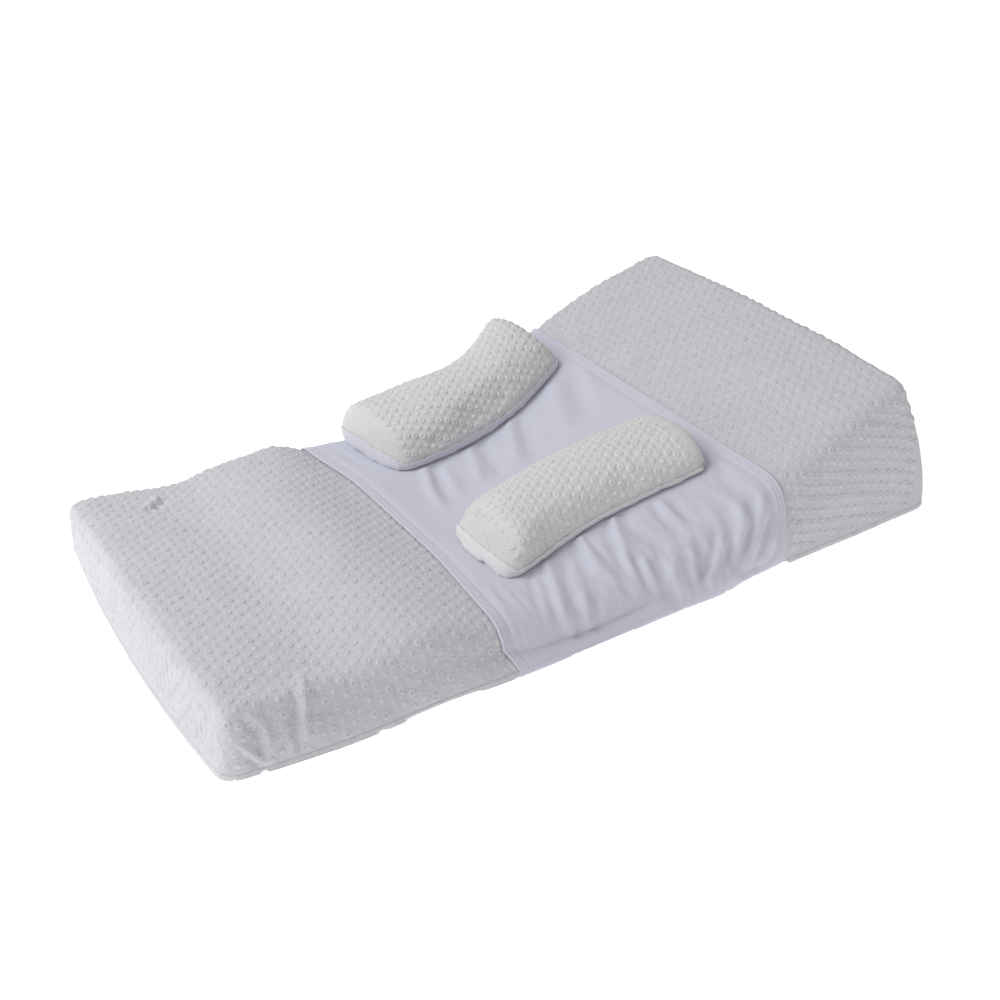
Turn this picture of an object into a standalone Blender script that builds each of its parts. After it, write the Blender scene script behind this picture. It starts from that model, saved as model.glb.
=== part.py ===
"""Baby sleep positioner: a shaped foam pad in a bubble-knit cover, with a jersey band round its middle
and two side bolsters on the band. Metres, +Z up. X runs from the foot end to the head end, Y across, and
the origin is under the middle of the pad, on the surface it lies on."""

import math

import bmesh
import bpy
from mathutils import Vector

LENGTH = 0.754
HALF_LENGTH = LENGTH / 2
GAP = 0.0004  # between one piece and the next

# The pad's top along its middle line, by distance from the foot end
PROFILE = (
    # along, height
    (0.000, 0.058),
    (0.028, 0.062),
    (0.068, 0.058),
    (0.118, 0.053),
    (0.160, 0.0600),
    (0.184, 0.0632),
    (0.205, 0.0612),
    (0.229, 0.0550),
    (0.251, 0.0478),
    (0.274, 0.0410),
    (0.310, 0.036),
    (0.350, 0.034),
    (0.390, 0.036),
    (0.430, 0.042),
    (0.470, 0.053),
    (0.510, 0.067),
    (0.568, 0.090),
    (0.610, 0.109),
    (0.650, 0.127),
    (0.690, 0.142),
    (0.720, 0.151),
    (0.754, 0.154),
)

# The two long sides, which differ a little as soft foam does: half width at the top edge and at the floor,
# radius of the top edge, and how far the surface falls from the middle line to the edge
SIDE_COLUMNS = ("along", "half_top", "half_floor", "radius", "crown")
FRONT_SIDE = (
    (0.000, 0.194, 0.201, 0.013, 0.002),
    (0.060, 0.195, 0.208, 0.016, 0.004),
    (0.120, 0.197, 0.213, 0.018, 0.006),
    (0.205, 0.197, 0.211, 0.022, 0.006),
    (0.274, 0.199, 0.215, 0.024, 0.003),
    (0.350, 0.199, 0.214, 0.024, 0.003),
    (0.430, 0.199, 0.213, 0.024, 0.004),
    (0.480, 0.199, 0.215, 0.025, 0.005),
    (0.520, 0.199, 0.210, 0.024, 0.005),
    (0.570, 0.199, 0.208, 0.022, 0.006),
    (0.650, 0.199, 0.207, 0.018, 0.007),
    (0.754, 0.199, 0.204, 0.012, 0.006),
)
BACK_SIDE = (
    (0.000, 0.197, 0.208, 0.011, 0.001),
    (0.060, 0.199, 0.212, 0.012, 0.003),
    (0.120, 0.198, 0.213, 0.014, 0.0062),
    (0.145, 0.198, 0.213, 0.014, 0.0070),
    (0.165, 0.198, 0.212, 0.015, 0.0066),
    (0.184, 0.198, 0.211, 0.016, 0.0076),
    (0.205, 0.198, 0.211, 0.016, 0.0047),
    (0.229, 0.199, 0.212, 0.016, -0.0022),
    (0.243, 0.199, 0.213, 0.016, -0.0010),
    (0.258, 0.200, 0.213, 0.016, 0.0035),
    (0.274, 0.200, 0.214, 0.016, 0.0020),
    (0.350, 0.200, 0.216, 0.016, 0.001),
    (0.430, 0.202, 0.216, 0.016, -0.001),
    (0.510, 0.208, 0.216, 0.014, -0.004),
    (0.570, 0.213, 0.216, 0.010, -0.007),
    (0.650, 0.211, 0.216, 0.010, -0.003),
    (0.754, 0.202, 0.208, 0.010, 0.002),
)
SIDE_BULGE = 0.003  # at half height, beyond the straight line from floor to top edge
CORNER_RADIUS = 0.014  # of the pad's upright corners, seen from above
CROWN_POWER = 2.5

# The end faces lean in towards the top, and bow outwards in the middle of the width
FOOT_LEAN, FOOT_BOW, FOOT_ZONE = 0.009, 0.0105, 0.070
FOOT_BOW_MIDDLE = -0.035  # the foot end reaches furthest a little towards the front
UPRIGHT_FROM, UPRIGHT_RUN = 0.08, 0.12  # towards the back the foot end stands more upright
HEAD_LEAN, HEAD_BOW, HEAD_ZONE = 0.036, 0.003, 0.150
HEAD_LEAN_POWER = 1.5
BOW_SPAN = 0.2  # width over which each bow is given

# The band: hem lines at two stations, cloth thickness, and the bow of its hems towards the foot end
BAND_START, BAND_END = 0.271, 0.5625
BAND_THICKNESS = 0.0016
HEM_WIDTH, HEM_EXTRA = 0.009, 0.0009
HEM_EASE = 0.6 * HEM_WIDTH
FLOOR_EASE = 0.30  # share of the side's height over which folds and hems fade out towards the floor
STEP_WIDTH = 0.0010  # run of the step where the pad's underside rises over the band
BOW_REACH = 0.090
HEM_BOWS = (
    # hem, side, bow towards the foot end, how far off the middle line it starts, its run
    (BAND_START, -1, 0.0095, 0.05, 0.150),
    (BAND_START, 1, 0.0130, 0.08, 0.110),
    (BAND_END, -1, -0.0040, 0.12, 0.080),
    (BAND_END, 1, 0.0050, 0.10, 0.095),
)

# Soft ridges in the band, each from one point to another by along and girth, which is the distance from the
# middle line, on round the side
BAND_FOLDS = (
    # along_1, girth_1, along_2, girth_2, half_width, height
    (0.345, 0.070, 0.312, -0.020, 0.010, 0.0030),
    (0.372, 0.074, 0.352, 0.000, 0.010, 0.0026),
    (0.402, 0.070, 0.392, 0.004, 0.009, 0.0028),
    (0.452, 0.074, 0.442, 0.002, 0.011, 0.0034),
    (0.500, 0.070, 0.492, -0.010, 0.011, 0.0028),
    (0.352, -0.150, 0.322, -0.222, 0.009, 0.0032),
    (0.378, -0.150, 0.362, -0.230, 0.009, 0.0034),
    (0.404, -0.152, 0.396, -0.232, 0.008, 0.0034),
    (0.436, -0.154, 0.440, -0.236, 0.011, 0.0040),
    (0.470, -0.150, 0.486, -0.236, 0.012, 0.0036),
    (0.504, -0.146, 0.520, -0.250, 0.009, 0.0034),
    (0.530, -0.140, 0.545, -0.250, 0.009, 0.0030),
    (0.340, 0.196, 0.346, 0.240, 0.012, 0.0026),
    (0.420, 0.200, 0.412, 0.244, 0.014, 0.0030),
    (0.500, 0.204, 0.508, 0.262, 0.013, 0.0030),
)

FOLD_TAPER = 0.7
FOLD_CLEAR, FOLD_RISE = 0.003, 0.012  # folds start this far from a bolster and rise over this run

# The jersey is held up off the dip where the stiffer front bolster spans it
TENT_START, TENT_END, TENT_HEIGHT = 0.305, 0.545, 0.014
TENT_POWER = 1.5
TENT_FRONT, TENT_BACK, TENT_SIDE_FRONT, TENT_SIDE_BACK = -0.142, -0.014, 0.050, 0.045

# The bolsters. The middle line's ends are in along and across, the crest stands to one side of it, and each
# end face leans in at the top. STATIONS gives half width, height and sideways bow at shares of the length.
BOLSTERS = (
    # name, start, end, crest, lean_start, lean_end
    ("front", (0.313, -0.0875), (0.524, -0.0820), -0.001, 0.0225, -0.0180),
    ("back", (0.320, 0.1460), (0.530, 0.1720), 0.014, 0.0070, 0.0020),
)
STATION_COLUMNS = ("share", "half_width", "height", "bow")
STATIONS = {
    "front": (
        (0.00, 0.0490, 0.0420, 0.0000),
        (0.33, 0.0452, 0.0400, 0.0070),
        (0.67, 0.0473, 0.0353, 0.0071),
        (1.00, 0.0500, 0.0290, 0.0000),
    ),
    "back": (
        (0.00, 0.0555, 0.0420, 0.0000),
        (0.33, 0.0500, 0.0510, -0.0093),
        (0.67, 0.0452, 0.0478, -0.0136),
        (1.00, 0.0458, 0.0488, 0.0000),
    ),
}
BOLSTER_GRID_ALONG, BOLSTER_GRID_ACROSS = 15, 8
WALL_SHARE = 0.34  # share of a bolster's height that is upright side
DOME_POWER = 0.85
END_ROUND, END_BULGE = 0.012, 0.003
BOLSTER_BULGE = 0.0015  # of the upright sides
END_NARROW = 0.10  # how much of the end rounding also narrows the bolster
PLAN_ROUND_START, PLAN_ROUND_END, PLAN_REACH = 0.014, 0.003, 0.25  # each end's curve seen from above
BASE_RIM_SHARE = 0.5  # share of the upright side that the base panel turns up round
BASE_THICKNESS = 0.0014

COLOURS = {
    "cushion": (0.60, 0.60, 0.585),
    "bolster": (0.69, 0.68, 0.65),
    "jersey": (0.60, 0.60, 0.68),
    "base": (0.62, 0.62, 0.67),
}


def clear_scene():
    for obj in list(bpy.data.objects):
        bpy.data.objects.remove(obj, do_unlink=True)


def smooth(value):
    """0 below 0, 1 above 1, with soft ends."""
    value = min(max(value, 0.0), 1.0)
    return value * value * (3 - 2 * value)


def curve_through(rows, column, along):
    """A column of a table read as a smooth curve of its first column."""
    along = min(max(along, rows[0][0]), rows[-1][0])
    last = len(rows) - 1
    left = max(i for i in range(last) if rows[i][0] <= along)

    def slope(i):
        before, after = rows[max(i - 1, 0)], rows[min(i + 1, last)]
        return (after[column] - before[column]) / (after[0] - before[0])

    start, end = rows[left], rows[left + 1]
    span = end[0] - start[0]
    t = (along - start[0]) / span
    return (
        start[column] * (2 * t**3 - 3 * t**2 + 1)
        + slope(left) * span * (t**3 - 2 * t**2 + t)
        + end[column] * (3 * t**2 - 2 * t**3)
        + slope(left + 1) * span * (t**3 - t**2)
    )


def side_value(along, across, column):
    table = FRONT_SIDE if across < 0 else BACK_SIDE
    return curve_through(table, SIDE_COLUMNS.index(column), along)


def top_height(along, across):
    """Height of the pad's top over its middle region, edge rounding left out."""
    share = min(abs(across) / side_value(along, across, "half_top"), 1.0)
    return curve_through(PROFILE, 1, along) - side_value(along, across, "crown") * share**CROWN_POWER


def end_shift(along, across, up):
    """How far a point moves along X because the end faces lean and bow."""
    upright = smooth((across - UPRIGHT_FROM) / UPRIGHT_RUN)
    foot = FOOT_LEAN * up * (1 - upright) + FOOT_BOW * ((across - FOOT_BOW_MIDDLE) / BOW_SPAN) ** 2
    head = HEAD_LEAN * up**HEAD_LEAN_POWER + HEAD_BOW * (across / BOW_SPAN) ** 2
    near_foot = 1 - smooth(along / FOOT_ZONE)
    near_head = smooth((along - LENGTH + HEAD_ZONE) / HEAD_ZONE)
    return foot * near_foot - head * near_head


def hem_shift(along, across, up):
    """The band's hems bow along the pad towards its two sides."""
    shift = 0.0
    for hem, side, bow, start, run in HEM_BOWS:
        near = max(0.0, 1 - abs(along - hem) / BOW_REACH)
        shift -= near * smooth((side * across - start) / run) * bow
    return shift * up


def rounded_plan(along, across, half_width):
    """Rounds the upright corners: the moved point, and its distance in from the outline."""
    from_end = min(along, LENGTH - along)
    u = (CORNER_RADIUS - from_end) / CORNER_RADIUS
    v = (abs(across) - half_width + CORNER_RADIUS) / CORNER_RADIUS
    if u <= 0 or v <= 0:
        return along, across, min(from_end, half_width - abs(across))
    round_u = u * math.sqrt(1 - v * v / 2)
    round_v = v * math.sqrt(1 - u * u / 2)
    from_end = CORNER_RADIUS * (1 - round_u)
    side = half_width - CORNER_RADIUS * (1 - round_v)
    inset = CORNER_RADIUS * (1 - math.hypot(round_u, round_v))
    rounded_along = from_end if along < HALF_LENGTH else LENGTH - from_end
    return rounded_along, math.copysign(side, across), inset


def edge_drop(inset, radius):
    """How far a rounded edge has fallen at a distance in from the outline."""
    if inset >= radius:
        return 0.0
    return radius - math.sqrt(max(0.0, radius**2 - (radius - inset) ** 2))


def pad_point(along, side, up):
    """A point of the pad's skin, from a box: along in metres, side from -1 to 1, up from 0 to 1."""
    half_top, half_floor = side_value(along, side, "half_top"), side_value(along, side, "half_floor")
    half_width = half_floor + (half_top - half_floor) * up + SIDE_BULGE * math.sin(math.pi * up)
    along, across, inset = rounded_plan(along, side * half_width, half_width)
    moved = along + end_shift(along, across, up) + hem_shift(along, across, up)
    radius = side_value(along, across, "radius")
    height = top_height(moved, across)
    if up < 1:
        over_band = BAND_START - STEP_WIDTH / 2 < along < BAND_END + STEP_WIDTH / 2
        floor = BAND_THICKNESS + GAP if over_band else 0.0
        z = floor + up * (height - radius - floor)
    else:
        z = height - edge_drop(inset, radius)
    return Vector((moved - HALF_LENGTH, across, z))


def even_lines(start, end, count):
    return [start + (end - start) * i / count for i in range(1, count)]


def side_lines():
    """Cuts across the pad: even over the middle, closer in the rounded edges."""
    rounded = (0.862, 0.925, 0.966, 0.990)
    return [-line for line in rounded] + even_lines(-rounded[0], rounded[0], 13) + list(rounded)


UP_LINES = (0.25, 0.50, 0.75)
END_LINES = (0.003, 0.008, 0.015, 0.024)  # cuts near each end, close in its rounded edge
ALONG_LINES = (
    END_LINES
    + tuple(even_lines(END_LINES[-1], BAND_START - STEP_WIDTH, 19))
    + (BAND_START - STEP_WIDTH, BAND_START - STEP_WIDTH / 4, BAND_START)
    + tuple(even_lines(BAND_START, BAND_END, 36))
    + (BAND_END, BAND_END + STEP_WIDTH / 4, BAND_END + STEP_WIDTH)
    + tuple(even_lines(BAND_END + STEP_WIDTH, LENGTH - END_LINES[-1], 13))
    + tuple(LENGTH - line for line in reversed(END_LINES))
)


def cut_box(start, end, along_lines, across_lines, up_lines):
    """A box from start to end along X, -1 to 1 in Y and 0 to 1 in Z, cut by planes into a grid."""
    box = bmesh.new()
    bmesh.ops.create_cube(box, size=1.0)
    for vert in box.verts:
        vert.co = Vector((start if vert.co.x < 0 else end, 2 * vert.co.y, vert.co.z + 0.5))
    for axis, lines in enumerate((along_lines, across_lines, up_lines)):
        normal = Vector((0, 0, 0))
        normal[axis] = 1
        for line in lines:
            geometry = box.verts[:] + box.edges[:] + box.faces[:]
            bmesh.ops.bisect_plane(box, geom=geometry, dist=1e-7, plane_co=normal * line, plane_no=normal)
    return box


def shell_over(skin, gap, thickness_at, settle):
    """Turns an open skin into cloth: lifted off by gap at each point, then given its thickness outwards.
    settle(vert, outer) makes the last correction to a point."""
    skin.normal_update()
    inner = list(skin.verts)
    normals = {vert: vert.normal * vert.calc_shell_factor() for vert in inner}
    rims = [edge for edge in skin.edges if edge.is_boundary]
    copied = bmesh.ops.duplicate(skin, geom=skin.verts[:] + skin.edges[:] + skin.faces[:])
    partner = {old: new for old, new in copied["vert_map"].items() if old in normals}
    for vert, normal in normals.items():
        lift = gap(vert)
        partner[vert].co = vert.co + normal * (lift + thickness_at(vert))
        vert.co = vert.co + normal * lift
        settle(vert, partner[vert])
    outer = set(partner.values())
    bmesh.ops.reverse_faces(skin, faces=[face for face in skin.faces if face.verts[0] not in outer])
    for loop in connected_loops(rims):
        pairs = [edge_between(partner[edge.verts[0]], partner[edge.verts[1]]) for edge in loop]
        bmesh.ops.bridge_loops(skin, edges=loop + pairs)
    bmesh.ops.recalc_face_normals(skin, faces=skin.faces[:])


def edge_between(first, second):
    return next(edge for edge in first.link_edges if edge.other_vert(first) is second)


def connected_loops(edges):
    """Splits boundary edges into their separate closed loops."""
    left = set(edges)
    loops = []
    while left:
        loop, reached = [], [left.pop()]
        while reached:
            edge = reached.pop()
            loop.append(edge)
            touching = {e for vert in edge.verts for e in vert.link_edges} & left
            left -= touching
            reached.extend(touching)
        loops.append(loop)
    return loops


def add_object(name, mesh_source, material):
    mesh = bpy.data.meshes.new(name)
    mesh_source.to_mesh(mesh)
    mesh_source.free()
    mesh.shade_smooth()
    obj = bpy.data.objects.new(name, mesh)
    obj.data.materials.append(material)
    bpy.context.scene.collection.objects.link(obj)
    return obj


def cloth_material(name, colour, roughness):
    material = bpy.data.materials.new(name)
    material.use_nodes = True
    shader = material.node_tree.nodes["Principled BSDF"]
    shader.inputs["Base Color"].default_value = (*colour, 1)
    shader.inputs["Roughness"].default_value = roughness
    shader.inputs["Metallic"].default_value = 0
    return material


def build_cushion(material):
    pad = cut_box(0, LENGTH, ALONG_LINES, side_lines(), UP_LINES)
    for vert in pad.verts:
        vert.co = pad_point(*vert.co)
    add_object("cushion", pad, material)


def tent(along, across):
    """How far the jersey is held up off the dip under the front bolster."""
    share = (along - TENT_START) / (TENT_END - TENT_START)
    if not 0 < share < 1:
        return 0.0
    front = smooth((across - TENT_FRONT) / TENT_SIDE_FRONT + 1)
    back = smooth((TENT_BACK - across) / TENT_SIDE_BACK + 1)
    return TENT_HEIGHT * math.sin(math.pi * share) ** TENT_POWER * front * back


def fold_height(along, girth):
    """The band's soft ridges: rounded across and tapering to both ends."""
    total = 0.0
    for along_1, girth_1, along_2, girth_2, half_width, height in BAND_FOLDS:
        run = Vector((along_2 - along_1, girth_2 - girth_1))
        offset = Vector((along - along_1, girth - girth_1))
        share = offset.dot(run) / run.length_squared
        away = abs(run.x * offset.y - run.y * offset.x) / run.length
        if 0 < share < 1 and away < half_width:
            across_ridge = 0.5 + 0.5 * math.cos(math.pi * away / half_width)
            total = max(total, height * across_ridge * math.sin(math.pi * share) ** FOLD_TAPER)
    return total


def beside_bolsters(along, across):
    """0 under a bolster, where the band lies flat, rising to 1 beside it."""
    clear = 1.0
    for name, start, end, *_ in BOLSTERS:
        reach = max(half_width + abs(bow) for _, half_width, _, bow in STATIONS[name])
        run = Vector(end) - Vector(start)
        offset = Vector((along, across)) - Vector(start)
        share = min(max(offset.dot(run) / run.length_squared, 0.0), 1.0)
        middle = Vector(start) + run * share
        away = (Vector((along, across)) - middle).length - reach
        clear = min(clear, smooth((away - FOLD_CLEAR) / FOLD_RISE))
    return clear


def band_lift(along, side, up):
    """How far the band stands off the pad: nothing more than the gap underneath."""
    if up < 1e-6:
        return GAP
    across = side * side_value(along, side, "half_top")
    wall = (1 - up) * (top_height(along, across) - side_value(along, side, "radius"))
    girth = across + math.copysign(wall, across)
    low = smooth(up / FLOOR_EASE)
    fold = fold_height(along, girth) * beside_bolsters(along, across)
    return GAP + low * (fold + (tent(along, across) if up == 1 else 0.0))


def build_band(material):
    lines = [line for line in ALONG_LINES if BAND_START < line < BAND_END]
    skin = cut_box(BAND_START, BAND_END, lines, side_lines(), UP_LINES)
    ends = [face for face in skin.faces if abs(face.normal.x) > 0.9]
    bmesh.ops.delete(skin, geom=ends, context="FACES")
    place = {}
    for vert in skin.verts:
        place[vert] = tuple(vert.co)
        vert.co = pad_point(*vert.co)

    def lift(vert):
        return band_lift(*place[vert])

    def thickness(vert):
        along, _, up = place[vert]
        from_hem = min(along - BAND_START, BAND_END - along)
        hem = 1 - smooth((from_hem - HEM_EASE) / HEM_EASE)
        return BAND_THICKNESS + HEM_EXTRA * hem * smooth(up / FLOOR_EASE)

    def settle(vert, partner):
        if place[vert][2] < 1e-6:
            vert.co.z = BAND_THICKNESS
            partner.co.z = 0.0
        partner.co.z = max(partner.co.z, 0.0)

    shell_over(skin, lift, thickness, settle)
    add_object("belly_band", skin, material)


def band_top(along, across):
    """Height of the band's upper face."""
    return top_height(along, across) + tent(along, across) + GAP + BAND_THICKNESS


def bolster_value(name, column, share):
    return curve_through(STATIONS[name], STATION_COLUMNS.index(column), share)


def bolster_point(row, share, side, up):
    """A point of a bolster's skin, from a box: share 0 to 1 along it, side -1 to 1, up 0 to 1."""
    name, start, end, crest, lean_start, lean_end = row
    half_width = bolster_value(name, "half_width", share)
    height = bolster_value(name, "height", share)
    bow = bolster_value(name, "bow", share)
    run = Vector(end) - Vector(start)
    middle = Vector(start) + run * share
    direction = run.normalized()
    across_it = Vector((-direction.y, direction.x))
    drop = edge_drop(min(share, 1 - share) * run.length, END_ROUND)
    turn = side * math.pi / 2
    wall = WALL_SHARE * height
    dome = wall + (height - wall) * max(math.cos(turn), 0.0) ** DOME_POWER
    z = up * dome * (1 - drop / height)
    sideways = half_width * math.sin(turn) * (1 - END_NARROW * drop / half_width)
    sideways += BOLSTER_BULGE * math.sin(math.pi * up) * side * abs(side)
    sideways += bow + crest * math.cos(turn) * up
    spot = middle + across_it * sideways
    spot += direction * (lean_start * (1 - share) ** 4 - lean_end * share**4) * z / height
    near_start = max(0.0, 1 - share / PLAN_REACH) ** 2
    near_end = max(0.0, 1 - (1 - share) / PLAN_REACH) ** 2
    spot += direction * (PLAN_ROUND_END * near_end - PLAN_ROUND_START * near_start) * (1 - side * side)
    if share in (0, 1):
        spot += direction * math.copysign(END_BULGE * math.cos(turn) * math.sin(math.pi * up), share - 0.5)
    step = 0.01
    rise = band_top(middle.x + step, middle.y) - band_top(middle.x - step, middle.y)
    lean = math.atan2(rise, 2 * step)
    base = band_top(spot.x, spot.y) + 2 * GAP + BASE_THICKNESS
    return Vector((spot.x - HALF_LENGTH - z * math.sin(lean), spot.y, base + z * math.cos(lean)))


def bolster_grid():
    """The box cut for a bolster, with a line where the base panel's rim ends."""
    ends = [0.006, 0.020, 0.045]
    along_lines = ends + even_lines(ends[-1], 1 - ends[-1], BOLSTER_GRID_ALONG) + [1 - end for end in ends]
    up_lines = (BASE_RIM_SHARE, (1 + BASE_RIM_SHARE) / 2)
    return cut_box(0, 1, along_lines, even_lines(-1, 1, BOLSTER_GRID_ACROSS), up_lines)


def build_bolster(row, cover, base_cloth):
    box = bolster_grid()
    for vert in box.verts:
        vert.co = bolster_point(row, *vert.co)
    add_object("bolster_" + row[0], box, cover)

    skin = bolster_grid()
    above = [face for face in skin.faces if face.calc_center_median().z > BASE_RIM_SHARE]
    bmesh.ops.delete(skin, geom=above, context="FACES")
    for vert in skin.verts:
        vert.co = bolster_point(row, *vert.co)
    shell_over(skin, lambda vert: GAP, lambda vert: BASE_THICKNESS, lambda vert, partner: None)
    add_object("bolster_" + row[0] + "_base", skin, base_cloth)


def main():
    clear_scene()
    build_cushion(cloth_material("bubble knit cover", COLOURS["cushion"], 0.9))
    build_band(cloth_material("jersey band", COLOURS["jersey"], 0.75))
    cover = cloth_material("bolster bubble knit", COLOURS["bolster"], 0.9)
    base_cloth = cloth_material("base panel cloth", COLOURS["base"], 0.8)
    for row in BOLSTERS:
        build_bolster(row, cover, base_cloth)


main()
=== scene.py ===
"""Baby sleep positioner, dressed: the bubble-knit cover on the shaped pad, the jersey band with its folds and
twin-needle hems, and the two padded side bolsters on their smooth base panels. Metres, +Z up; X runs from the
foot end to the head end. It is run as a script in Blender 4.5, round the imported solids."""

import math
import bmesh
import bpy
import numpy as np
from bpy.props import FloatProperty, FloatVectorProperty, IntProperty, PointerProperty
from mathutils import Matrix, Vector, noise
from mathutils.bvhtree import BVHTree


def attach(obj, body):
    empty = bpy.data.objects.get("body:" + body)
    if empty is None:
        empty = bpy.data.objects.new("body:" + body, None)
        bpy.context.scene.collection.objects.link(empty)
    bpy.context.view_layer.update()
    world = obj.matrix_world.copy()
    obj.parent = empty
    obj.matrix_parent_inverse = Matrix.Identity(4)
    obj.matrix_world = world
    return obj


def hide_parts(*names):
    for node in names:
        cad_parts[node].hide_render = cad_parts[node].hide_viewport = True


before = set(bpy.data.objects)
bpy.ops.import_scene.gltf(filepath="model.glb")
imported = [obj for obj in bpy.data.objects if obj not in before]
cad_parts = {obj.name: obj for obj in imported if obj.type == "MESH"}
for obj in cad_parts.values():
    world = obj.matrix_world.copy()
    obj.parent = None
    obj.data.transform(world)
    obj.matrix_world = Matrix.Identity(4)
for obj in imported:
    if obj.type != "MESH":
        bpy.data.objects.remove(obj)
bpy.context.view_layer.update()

bl_info = {
    "name": "Baby sleep positioner",
    "version": (1, 0, 0),
    "blender": (4, 5, 0),
    "location": "View3D > Sidebar > Sleep pad",
    "description": "Covers, band, bolsters and stage of a baby sleep positioner",
    "category": "Object",
}

HALF_LENGTH = 0.377

# The band between its hems, by distance from the foot end, as the pad's solids have it
BAND_START, BAND_END = 0.271, 0.5625
BOW_REACH = 0.090
HEM_BOWS = (
    # hem, side, bow towards the foot end, how far off the middle line it starts, its run
    (BAND_START, -1, 0.0095, 0.05, 0.150),
    (BAND_START, 1, 0.0130, 0.08, 0.110),
    (BAND_END, -1, -0.0040, 0.12, 0.080),
    (BAND_END, 1, 0.0050, 0.10, 0.095),
)
TENT_START, TENT_END, TENT_HEIGHT, TENT_POWER = 0.305, 0.545, 0.014, 1.5
TENT_FRONT, TENT_BACK, TENT_SIDE_FRONT, TENT_SIDE_BACK = -0.142, -0.014, 0.050, 0.045

# Each bolster's middle line, by along and across
BOLSTERS = {
    "front": ((0.313, -0.0875), (0.524, -0.0820)),
    "back": ((0.320, 0.1460), (0.530, 0.1720)),
}

# Creases in the pad's cover, by place on the pad: height of the crease, its half width, then points along it
PAD_CREASES = (
    # height, half_width, points in metres (x from the foot end, y, z)
    (0.0036, 0.0040,
     ((0.092, -0.176, 0.053), (0.086, -0.190, 0.046), (0.080, -0.200, 0.029), (0.077, -0.207, 0.010))),
    (-0.0026, 0.0045,
     ((0.080, -0.184, 0.050), (0.074, -0.196, 0.038), (0.070, -0.204, 0.022), (0.069, -0.208, 0.008))),
    (0.0022, 0.0035, ((0.094, -0.192, 0.044), (0.088, -0.202, 0.027), (0.086, -0.207, 0.012))),
    (0.0034, 0.0036,
     ((0.034, -0.187, 0.053), (0.043, -0.193, 0.047), (0.048, -0.197, 0.037),
      (0.049, -0.202, 0.025), (0.045, -0.206, 0.004))),
    (-0.0030, 0.0036,
     ((0.033, -0.193, 0.048), (0.040, -0.197, 0.036), (0.040, -0.201, 0.024), (0.038, -0.204, 0.014))),
    (0.0026, 0.0032, ((0.024, -0.198, 0.034), (0.033, -0.203, 0.020), (0.044, -0.206, 0.006))),
    (-0.0022, 0.0036, ((0.024, -0.200, 0.026), (0.032, -0.204, 0.012), (0.038, -0.206, 0.004))),
    (0.0016, 0.0034, ((0.060, -0.194, 0.042), (0.064, -0.203, 0.020), (0.066, -0.208, 0.004))),
    (-0.0028, 0.0170, ((0.018, -0.172, 0.061), (0.050, -0.172, 0.057), (0.094, -0.174, 0.052))),
    (-0.0030, 0.0040, ((0.076, 0.136, 0.056), (0.090, 0.148, 0.053), (0.104, 0.158, 0.050))),
    (0.0022, 0.0040, ((0.076, 0.146, 0.056), (0.090, 0.158, 0.053), (0.100, 0.168, 0.050))),
)

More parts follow.
